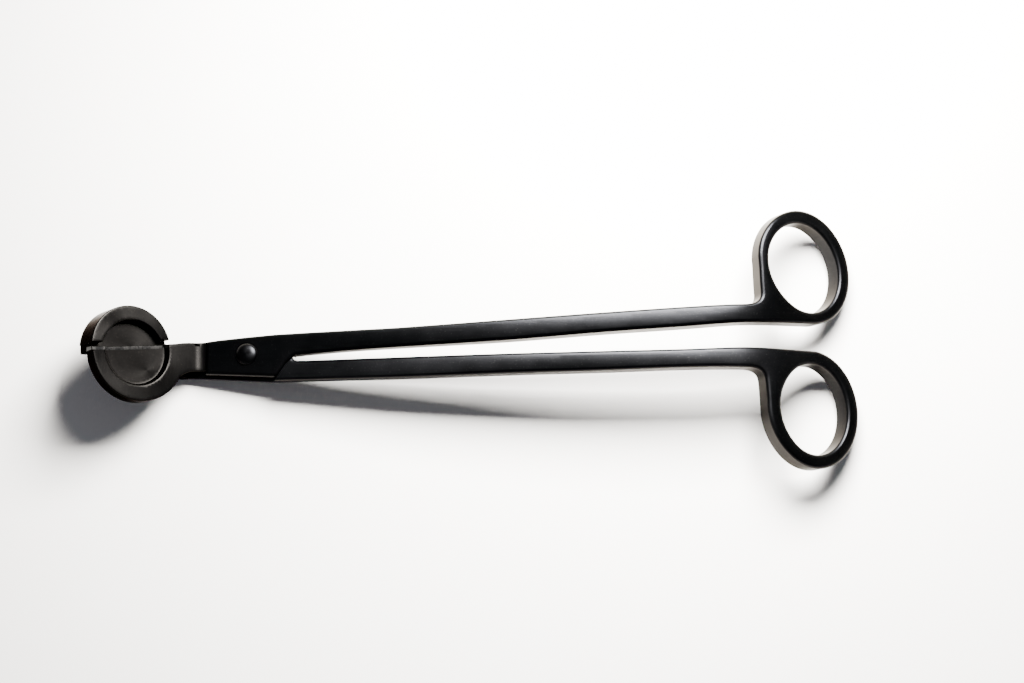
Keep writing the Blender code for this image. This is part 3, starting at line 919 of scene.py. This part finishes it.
@dataclass
class Levers:
    """Both levers, cut to their lap halves and laid on the arch."""

    setting: Setting
    arch: bpy.types.Object
    tree: ArchTree
    line_start: float
    shoulder_low: Point = (16.2, -5.45)
    shoulder_mid: Point = (18.45, -2.25)
    shoulder_high: Point = (19.95, -0.95)
    shoulder_clear: float = 0.4
    root_low: float = -4.45
    root_high: float = 3.25
    catch_neck_low: float = -4.9
    catch_neck_high: float = 2.0
    catch_seam: float = -4.9
    seam: float = 0.3
    top_bore: float = 1.95
    bottom_bore: float = 1.75
    pivot_at: float = 9.5
    lap_swing: float = 7.15
    top: Lever = field(default_factory=lambda: Lever(
        "top_lever_black", "top_lever", "upper_half",
        ((23.0, -0.3, 4.7), (34.0, 0.3, 4.95), (46.0, 0.75, 5.25), (69.0, 1.6, 6.35),
         (91.0, 3.05, 7.6), (109.0, 4.2, 8.7), (121.0, 5.25, 9.5)),
        Oval((136.35, 19.25), 10.5, 9.05, 113.0), Oval((136.75, 19.5), 13.35, 11.7, 113.0),
        ((124.95, 18.0), (125.05, 15.0), (125.2, 12.4)), (125.35, 9.6), False))
    bottom: Lever = field(default_factory=lambda: Lever(
        "bottom_lever_black", "bottom_lever", "lower_half",
        ((23.0, 1.8, 6.35), (46.0, 1.65, 6.4), (69.0, 1.45, 6.05), (91.0, 1.25, 5.7),
         (109.0, 0.95, 5.15), (122.5, 0.3, 4.9)),
        Oval((138.15, 13.32), 10.38, 8.95, 85.0), Oval((138.2, 13.32), 13.5, 12.0, 85.0),
        ((126.1, 11.2), (125.95, 9.2), (125.8, 7.6)), (125.65, 5.0), True))

    def _lay(self, lever: Lever, mesh: bmesh.types.BMesh, finish: bpy.types.Material
             ) -> bpy.types.Object:
        """Lay a cut blank on the arch, dress it and tie it to the frame."""
        item = as_object(lever.name, mesh, MM)
        across = self.setting.turn.col[1]
        run_tree(item, self.tree.tree, {
            "Arch Line": self.arch, "Line Start": self.line_start * MM,
            "Across": tuple(across), "Finish": finish})
        smoothed(item)
        return tie(item, lever.body, [lever.cad_node])

    def _bore(self, radius: float) -> bmesh.types.BMesh:
        """Build the cutter of a lap's pivot hole."""
        return turned(((0.0, -1.0), (radius, -1.0), (radius, 5.0), (0.0, 5.0)),
                      (self.pivot_at, 0.0), 64)

    def build_top(self, finish: bpy.types.Material) -> bpy.types.Object:
        """Build the top lever, with the upper half of the lap.

        Args:
            finish: The lever's material.

        Returns:
            The finished piece.
        """
        end = -self.seam / 2
        lap = eased([(16.0, 4.5), (9.9, 4.12), (3.0, 3.6), (end, self.root_high),
                     (end, self.root_low), (3.0, -4.62), self.shoulder_low,
                     self.shoulder_mid, self.shoulder_high, (20.55, -0.5),
                     (21.9, -0.42)], {6: 0.9})
        body = self.top.blank(lap)
        split = self.top.lap_thick / 2 + self.top.half_gap
        under = prism([(-2.0, -9.0), (24.0, -9.0), (20.3, -1.2), (20.3, 0.1),
                       (16.45, 4.35), (16.1, 9.0), (-2.0, 9.0)], -2.0, split)
        return self._lay(self.top, cut(body, [under, self._bore(self.top_bore)]), finish)

    def build_bottom(self, finish: bpy.types.Material) -> bpy.types.Object:
        """Build the bottom lever, with the lower half of the lap.

        Args:
            finish: The lever's material.

        Returns:
            The finished piece.
        """
        end = self.catch_seam + self.seam / 2
        swing = arc((self.pivot_at, 0.0), self.lap_swing, 28, 62, 1.0)
        shelf = [p for p in reversed(swing) if p[1] < 3.6]
        lap = [(15.0, -6.3), (8.0, -5.75), (0.0, -5.15), (end, self.catch_neck_low),
               (end, self.catch_neck_high), (3.0, 2.3), (9.9, 2.9), (12.3, 3.1)]
        tip = [(19.5, -0.3), (20.0, -1.05), (20.6, -1.6), (21.6, -1.78)]
        body = self.bottom.blank(lap + shelf + tip)
        split = self.bottom.lap_thick / 2 - self.bottom.half_gap
        low, mid = Vector(self.shoulder_low), Vector(self.shoulder_mid)
        high = Vector(self.shoulder_high)
        way, bend = (mid - low).normalized(), (high - mid).normalized()
        shift = Vector((way.y, -way.x)) * self.shoulder_clear
        stop = high + Vector((bend.y, -bend.x)) * self.shoulder_clear + bend * 0.8
        over = prism([(-6.0, -12.0), tuple(low + shift - way * 6.0),
                      tuple(mid + shift), tuple(stop), (19.9, 6.0), (-6.0, 9.0)],
                     split, 8.0)
        return self._lay(self.bottom, cut(body, [over, self._bore(self.bottom_bore)]),
                         finish)


# ------------------------------------------------------------------------------- jaws

@dataclass
class Head:
    """Plane of the jaws, which rises from the bend at an angle to the lap."""

    setting: Setting
    angle: float = 45.5
    lap_thick: float = 3.0
    blade_thick: float = 3.2
    bend_radius: float = 3.4
    blade_centre: Point = (17.5, -0.42)
    blade_radius: float = 11.7
    dish_centre: Point = (17.95, -0.6)
    dish_radius: float = 7.95
    dish_depth: float = 1.5
    dish_slope: float = 0.4
    edge_root: float = 3.2
    edge_slope: float = -0.14
    edge_land: float = 0.85
    land_from: float = 10.2
    land_drop: float = 0.45
    land_slope: float = 0.12
    neck_low: tuple[Point, ...] = (
        (-1.0, -3.6), (0.2, -3.6), (1.0, -3.62), (1.8, -3.66), (2.6, -3.72), (3.46, -3.8))
    neck_high: tuple[Point, ...] = (
        (-1.0, 3.2), (0.2, 3.13), (1.0, 3.07), (1.8, 3.0), (2.6, 2.93), (3.46, 2.85))
    catch_centre: Point = (18.9, -0.2)
    catch_radius: float = 10.0
    pocket_centre: Point = (18.4, -1.35)
    pocket_radius: float = 7.9
    rim_top: float = 1.2
    rim_bottom: float = 7.4
    plate_bottom: float = 7.0
    rim_clear: float = 1.1
    underlap: float = 1.0
    gap: float = 0.3
    close_gap: float = 0.02
    seam: float = 0.3
    catch_seam: float = -4.9

    def to_blank(self, mesh: bmesh.types.BMesh) -> None:
        """Carry a solid from (outward, across, -depth) to the lap's own axes.

        The upper face is straight beyond the bend, an arc through it, and level with
        the lap before it.

        Args:
            mesh: The solid, changed in place.
        """
        angle, radius = math.radians(self.angle), self.bend_radius
        for vertex in mesh.verts:
            out, across, rise = vertex.co
            past = out - radius * math.tan(angle)
            turn = min(max(angle + past / radius, 0.0), angle)
            along = (max(past, 0.0) * math.cos(angle)
                     + min(past + radius * angle, 0.0))
            up = max(past, 0.0) * math.sin(angle)
            reach = radius - rise
            vertex.co = (-along - reach * math.sin(turn), across,
                         self.lap_thick + radius + up - reach * math.cos(turn))

    def edge_line(self, outward: float, shift: float = 0.0) -> float:
        """Return the across place of a line level with the cutting edge."""
        return self.edge_root + self.edge_slope * outward + shift

    def meets(self, centre: Point, radius: float, shift: float, far: bool) -> float:
        """Return the angle in degrees where a circle meets such a line."""
        angles = np.radians(np.arange(0, 360, 0.1))
        x = centre[0] + radius * np.cos(angles)
        y = centre[1] + radius * np.sin(angles)
        error = np.abs(y - self.edge_line(x, shift))
        error[(np.cos(angles) > 0) != far] = FAR
        return float(np.degrees(angles[np.argmin(error)]))

    def finish_piece(self, name: str, mesh: bmesh.types.BMesh, body: str,
                     nodes: Sequence[str], finishes: Sequence[bpy.types.Material],
                     angle: float = 30.0) -> bpy.types.Object:
        """Place a solid that is in the lap's axes, dress it and tie it to the frame.

        Args:
            name: The piece's name.
            mesh: The solid, in millimetres, with a blank layer already on it.
            body: The body it rides on.
            nodes: The CAD nodes it stands for.
            finishes: Its materials, by face index.
            angle: Creases sharper than this stay sharp.

        Returns:
            The finished piece.
        """
        self.setting.place_mesh(mesh)
        item = as_object(name, mesh)
        for finish in finishes:
            item.data.materials.append(finish)
        smoothed(item, angle)
        return tie(item, body, nodes)


def with_blank(mesh: bmesh.types.BMesh) -> None:
    """Store each point's place, in metres, in the solid's blank layer."""
    layer = mesh.verts.layers.float_vector.new("blank")
    for vertex in mesh.verts:
        vertex[layer] = vertex.co * MM


@dataclass
class DishedBlade:
    """Half-round blade: a flat band round a turned dish, with a ground straight edge."""

    head: Head

    def _face(self, at: np.ndarray) -> np.ndarray:
        """Return the upper face's height: band, dish wall and floor, ground land."""
        h = self.head
        away = np.hypot(at[:, 0] - h.dish_centre[0], at[:, 1] - h.dish_centre[1])
        wall_top, wall_foot = h.dish_radius, h.dish_radius - h.dish_slope
        knots = [0.0, wall_foot - 0.35, wall_foot - 0.12, wall_foot, wall_top - 0.02,
                 wall_top + 0.08, wall_top + 0.24, 60.0]
        depth = [h.dish_depth, h.dish_depth, h.dish_depth - 0.05, h.dish_depth - 0.22,
                 0.22, 0.06, 0.0, 0.0]
        face = -np.interp(away, knots, depth)
        back = h.edge_line(at[:, 0], -h.edge_land) - at[:, 1]
        ground = np.where((at[:, 0] > h.land_from) & (back < 0),
                          -h.land_drop + np.clip(back, -2, 0) * h.land_slope, FAR)
        return np.minimum(face, ground)

    def outline(self) -> list[Point]:
        """Draw the blade's plan, neck included."""
        h = self.head
        points = list(h.neck_high) + [(5.0, 2.7), (6.5, 2.48), (8.0, 2.14)]
        points += [(x, h.edge_line(x)) for x in np.arange(9.5, 28.0, 0.5)]
        points += arc(h.blade_centre, h.blade_radius, -2, -155, 0.4)
        points += bezier(points[-1], (6.0, -4.6), (4.0, -3.88), 10)
        return points + [(4.0, -3.88)] + list(h.neck_low[::-1])

    def build(self, finishes: Sequence[bpy.types.Material]) -> bpy.types.Object:
        """Build the blade.

        Args:
            finishes: Band, dish and ground edge materials.

        Returns:
            The finished piece.
        """
        h = self.head
        features = []
        for grow in (0.24, 0.08, -0.02, -h.dish_slope, -h.dish_slope - 0.12,
                     -h.dish_slope - 0.35):
            features.append(arc(h.dish_centre, h.dish_radius + grow, 0, 360, 0.3))
        for shift in (-h.edge_land - 0.03, -h.edge_land + 0.03):
            features.append([(x, h.edge_line(x, shift)) for x in np.arange(8.0, 29, 0.3)])
        mesh = Plate(self.outline(), level(-h.blade_thick), self._face, top_round=0.3,
                     back_round=0.12, spacing=0.55, side_step=0.35,
                     features=features).build()
        with_blank(mesh)
        for item in mesh.faces:
            x, y, z = item.calc_center_median()
            away = math.hypot(x - h.dish_centre[0], y - h.dish_centre[1])
            if (y > h.edge_line(x, -h.edge_land) and x > h.land_from
                    and z > -h.blade_thick + 0.3):
                item.material_index = 2
            elif away < h.dish_radius + 0.2 and z > -h.blade_thick + 0.3:
                item.material_index = 1
        h.to_blank(mesh)
        trim(mesh, (0.0, 0.0, h.lap_thick / 2 + 0.15), (0.0, 0.0, -1.0))
        trim(mesh, (-h.seam / 2 - 0.02, 0.0, 0.0), (1.0, 0.0, 0.0))
        return h.finish_piece("dished_blade_black", mesh, "upper_half",
                              ["dished_blade"], finishes)


@dataclass
class CatchJaw:
    """Half cup under the blade: a floor with its neck, and a crescent rim."""

    head: Head

    def floor_outline(self) -> list[Point]:
        """Draw the floor's plan, neck included."""
        h = self.head
        shift = h.rim_clear - h.close_gap
        inner = h.pocket_radius - h.close_gap
        far_low, far_high = (
            at - 360 if at > 180 else at
            for at in (h.meets(h.catch_centre, h.catch_radius, level_with, True)
                       for level_with in (-h.underlap, shift)))
        near = h.meets(h.catch_centre, h.catch_radius, shift, False)
        points = [(0.0, -4.9), (3.46, -4.9), (4.5, -4.7), (6.5, -3.6)]
        points += [(x, h.edge_line(x, -h.underlap)) for x in np.arange(9.0, 25.5, 0.5)]
        points += arc(h.catch_centre, h.catch_radius, far_low, far_high, 0.3)
        points += arc(h.pocket_centre, inner,
                      h.meets(h.pocket_centre, inner, shift, True),
                      h.meets(h.pocket_centre, inner, shift, False), 0.35)
        points += arc(h.catch_centre, h.catch_radius, near, near + 3, 0.2)
        return points + [(7.2, 2.2), (5.0, 2.0), (0.0, 2.0)]

    def build_floor(self, finish: bpy.types.Material) -> bpy.types.Object:
        """Build the floor and neck."""
        h = self.head
        mesh = Plate(self.floor_outline(), level(-h.plate_bottom),
                     level(-(h.blade_thick + h.gap)), top_round=0.12, back_round=0.3,
                     spacing=0.7, side_step=0.35).build()
        with_blank(mesh)
        h.to_blank(mesh)
        trim(mesh, (0.0, 0.0, 0.0), (0.0, 0.0, -1.0))
        trim(mesh, (h.catch_seam - h.seam / 2, 0.0, 0.0), (1.0, 0.0, 0.0))
        return h.finish_piece("catch_floor_black", mesh, "lower_half", ["catch_plate"],
                              [finish])

    def build_rim(self, finish: bpy.types.Material) -> bpy.types.Object:
        """Build the crescent rim."""
        h = self.head
        points = []
        for centre, radius, far in ((h.catch_centre, h.catch_radius, True),
                                    (h.pocket_centre, h.pocket_radius, False)):
            points += arc(centre, radius, h.meets(centre, radius, h.rim_clear, far),
                          h.meets(centre, radius, h.rim_clear, not far), 0.35)
        mesh = Plate(points, level(-h.rim_bottom), level(-h.rim_top), top_round=0.28,
                     back_round=0.2, spacing=0.6, side_step=0.35).build()
        with_blank(mesh)
        h.to_blank(mesh)
        return h.finish_piece("catch_rim_black", mesh, "lower_half", ["catch_rim"],
                              [finish])


# ------------------------------------------------------------------------------- pivot

@dataclass
class Pivot:
    """Rivet, washer and collar on the hinge's axis."""

    setting: Setting
    lap_thick: float = 3.0
    seat: float = 0.15
    shank: float = 1.65
    head_radius: float = 2.5
    head_height: float = 1.05
    head_lift: float = 0.02
    washer_radius: float = 2.9
    washer_thick: float = 0.5
    collar_radius: float = 2.3
    collar_thick: float = 0.8
    pivot_at: float = 9.5

    def _piece(self, name: str, profile: Sequence[Point], cad_node: str,
               finish: bpy.types.Material) -> bpy.types.Object:
        """Turn a profile, dress it and tie it to the frame."""
        mesh = turned(profile, (self.pivot_at, 0.0), 96)
        with_blank(mesh)
        self.setting.place_mesh(mesh)
        item = as_object(name, mesh)
        item.data.materials.append(finish)
        smoothed(item, 40.0)
        return tie(item, "lower_half", [cad_node])

    def build(self, coat: bpy.types.Material, plain: bpy.types.Material) -> None:
        """Build the rivet, washer and collar.

        Args:
            coat: Material of the rivet and collar.
            plain: Material of the washer.
        """
        base = self.lap_thick + self.head_lift
        foot = -(self.seat * 3 + self.washer_thick + self.collar_thick)
        dome = [(0.0, foot), (self.shank - 0.3, foot), (self.shank - 0.08, foot + 0.08),
                (self.shank, foot + 0.3), (self.shank, base),
                (self.head_radius, base)]
        rise = self.head_height + self.seat - self.head_lift
        for turn in np.radians(np.linspace(6, 84, 16)):
            dome.append((self.head_radius * math.cos(turn),
                         base + rise * math.sin(turn)))
        dome.append((0.0, base + rise))
        self._piece("rivet_black", dome, "rivet", coat)
        top, inner = -self.seat, self.shank + 0.15
        low = top - self.washer_thick
        self._piece("washer_steel", (
            (inner, top), (self.washer_radius - 0.1, top),
            (self.washer_radius - 0.03, top - 0.03), (self.washer_radius, top - 0.1),
            (self.washer_radius, low + 0.1), (self.washer_radius - 0.03, low + 0.03),
            (self.washer_radius - 0.1, low), (inner, low)),
            "pivot_washer", plain)
        top, inner = low - self.seat, self.shank + 0.1
        low = top - self.collar_thick
        self._piece("collar_black", (
            (inner, top), (self.collar_radius, top), (self.collar_radius, low + 0.25),
            (self.collar_radius - 0.08, low + 0.08), (self.collar_radius - 0.25, low),
            (inner, low)), "pivot_collar", coat)


# ------------------------------------------------------------------------------ studio

@dataclass
class Studio:
    """Pale floor, one soft key light, a glow from the walls, and the camera.

    The glow falls from the walls' strength to the ceiling's, between two heights of
    the view direction.
    """

    floor: str = "#f4f0e9"
    aim: tuple[float, float, float] = (0.0092, 0.001, 0.0)
    distance: float = 0.56
    tilt: float = 10.0
    focal_px: float = 2425.0
    width_px: int = 1024
    sensor_mm: float = 36.0
    air: str = "#e9edff"
    walls_start: float = 0.1
    walls: float = 0.28
    walls_end: float = 0.4
    ceiling: float = 0.16
    key_place: tuple[float, float, float] = (0.055, 0.120, 0.155)
    key_size: Point = (0.13, 0.10)
    key_watts: float = 8.5
    reach: float = 3.0
    drop: float = 0.00005

    def build(self) -> None:
        """Set the floor, lights and camera."""
        self._floor()
        self._lights()
        self._camera()

    def _floor(self) -> None:
        """Lay a wide matt sheet under the trimmer."""
        mesh = bmesh.new()
        corners = [mesh.verts.new((x * self.reach, y * self.reach, -self.drop))
                   for x, y in ((-1, -1), (1, -1), (1, 1), (-1, 1))]
        mesh.faces.new(corners)
        item = as_object("studio_floor", mesh)
        made = bpy.data.materials.new("matt_white_sheet")
        made.use_nodes = True
        tree = made.node_tree
        shader = tree.nodes["Principled BSDF"]
        shader.inputs["Base Color"].default_value = linear(self.floor)
        shader.inputs["Roughness"].default_value = 0.9
        item.data.materials.append(made)

    def _lights(self) -> None:
        """Set the glow of walls and ceiling, and hang the key light."""
        world = bpy.data.worlds.new("studio")
        bpy.context.scene.world = world
        world.use_nodes = True
        tree = world.node_tree
        place = node(tree, "ShaderNodeTexCoord")
        parts = node(tree, "ShaderNodeSeparateXYZ", {0: place.outputs["Generated"]})
        glow = node(tree, "ShaderNodeMapRange", {
            "Value": parts.outputs[2], "From Min": self.walls_start,
            "From Max": self.walls_end, "To Min": self.walls, "To Max": self.ceiling})
        back = tree.nodes["Background"]
        back.inputs["Color"].default_value = linear(self.air)
        tree.links.new(glow.outputs[0], back.inputs["Strength"])
        data = bpy.data.lights.new("key", "AREA")
        data.shape = "RECTANGLE"
        data.size, data.size_y = self.key_size
        data.energy = self.key_watts
        item = bpy.data.objects.new("key", data)
        item.location = self.key_place
        across, up = self.key_place[1:]
        item.rotation_euler = (-math.atan2(across, up), 0.0, 0.0)
        bpy.context.collection.objects.link(item)

    def _camera(self) -> None:
        """Hang the camera over the trimmer, leaning a little to the near side."""
        data = bpy.data.cameras.new("camera")
        data.sensor_width = self.sensor_mm
        data.lens = self.focal_px / self.width_px * self.sensor_mm
        item = bpy.data.objects.new("camera", data)
        lean = math.radians(self.tilt)
        away = Vector((0.0, -math.sin(lean), math.cos(lean))) * self.distance
        item.location = Vector(self.aim) + away
        item.rotation_euler = (lean, 0.0, 0.0)
        bpy.context.collection.objects.link(item)
        bpy.context.scene.camera = item


def main() -> None:
    """Build the trimmer and its studio."""
    logging.basicConfig(level=logging.INFO, format="%(name)s: %(message)s")
    setting = Setting()
    head = Head(setting)
    arch = Arch()
    line = arch.curve(setting)
    satin = BlackPlate("black_plated_satin_steel", "#161617", "#3c3c3a", 0.26,
                       Grain.ALONG)
    band = BlackPlate("black_plated_brushed_band", "#141312", "#33302b", 0.24,
                      Grain.ACROSS, edge="#a9a6a4")
    dish = BlackPlate("black_plated_turned_dish", "#100f0e", "#2c2a26", 0.30,
                      Grain.TURNED, edge="#a9a6a4", centre=head.dish_centre)
    levers = Levers(setting, line, ArchTree(), arch.start)
    coat = satin.material()
    levers.build_top(coat)
    levers.build_bottom(coat)
    bands, dishes = band.material(), dish.material()
    DishedBlade(head).build([bands, dishes, GroundSteel().material()])
    jaw = CatchJaw(head)
    jaw.build_floor(dishes)
    jaw.build_rim(bands)
    Pivot(setting).build(coat, TurnedSteel().material())
    bpy.data.objects.remove(line)
    Studio().build()


if __name__ == "__main__":
    main()
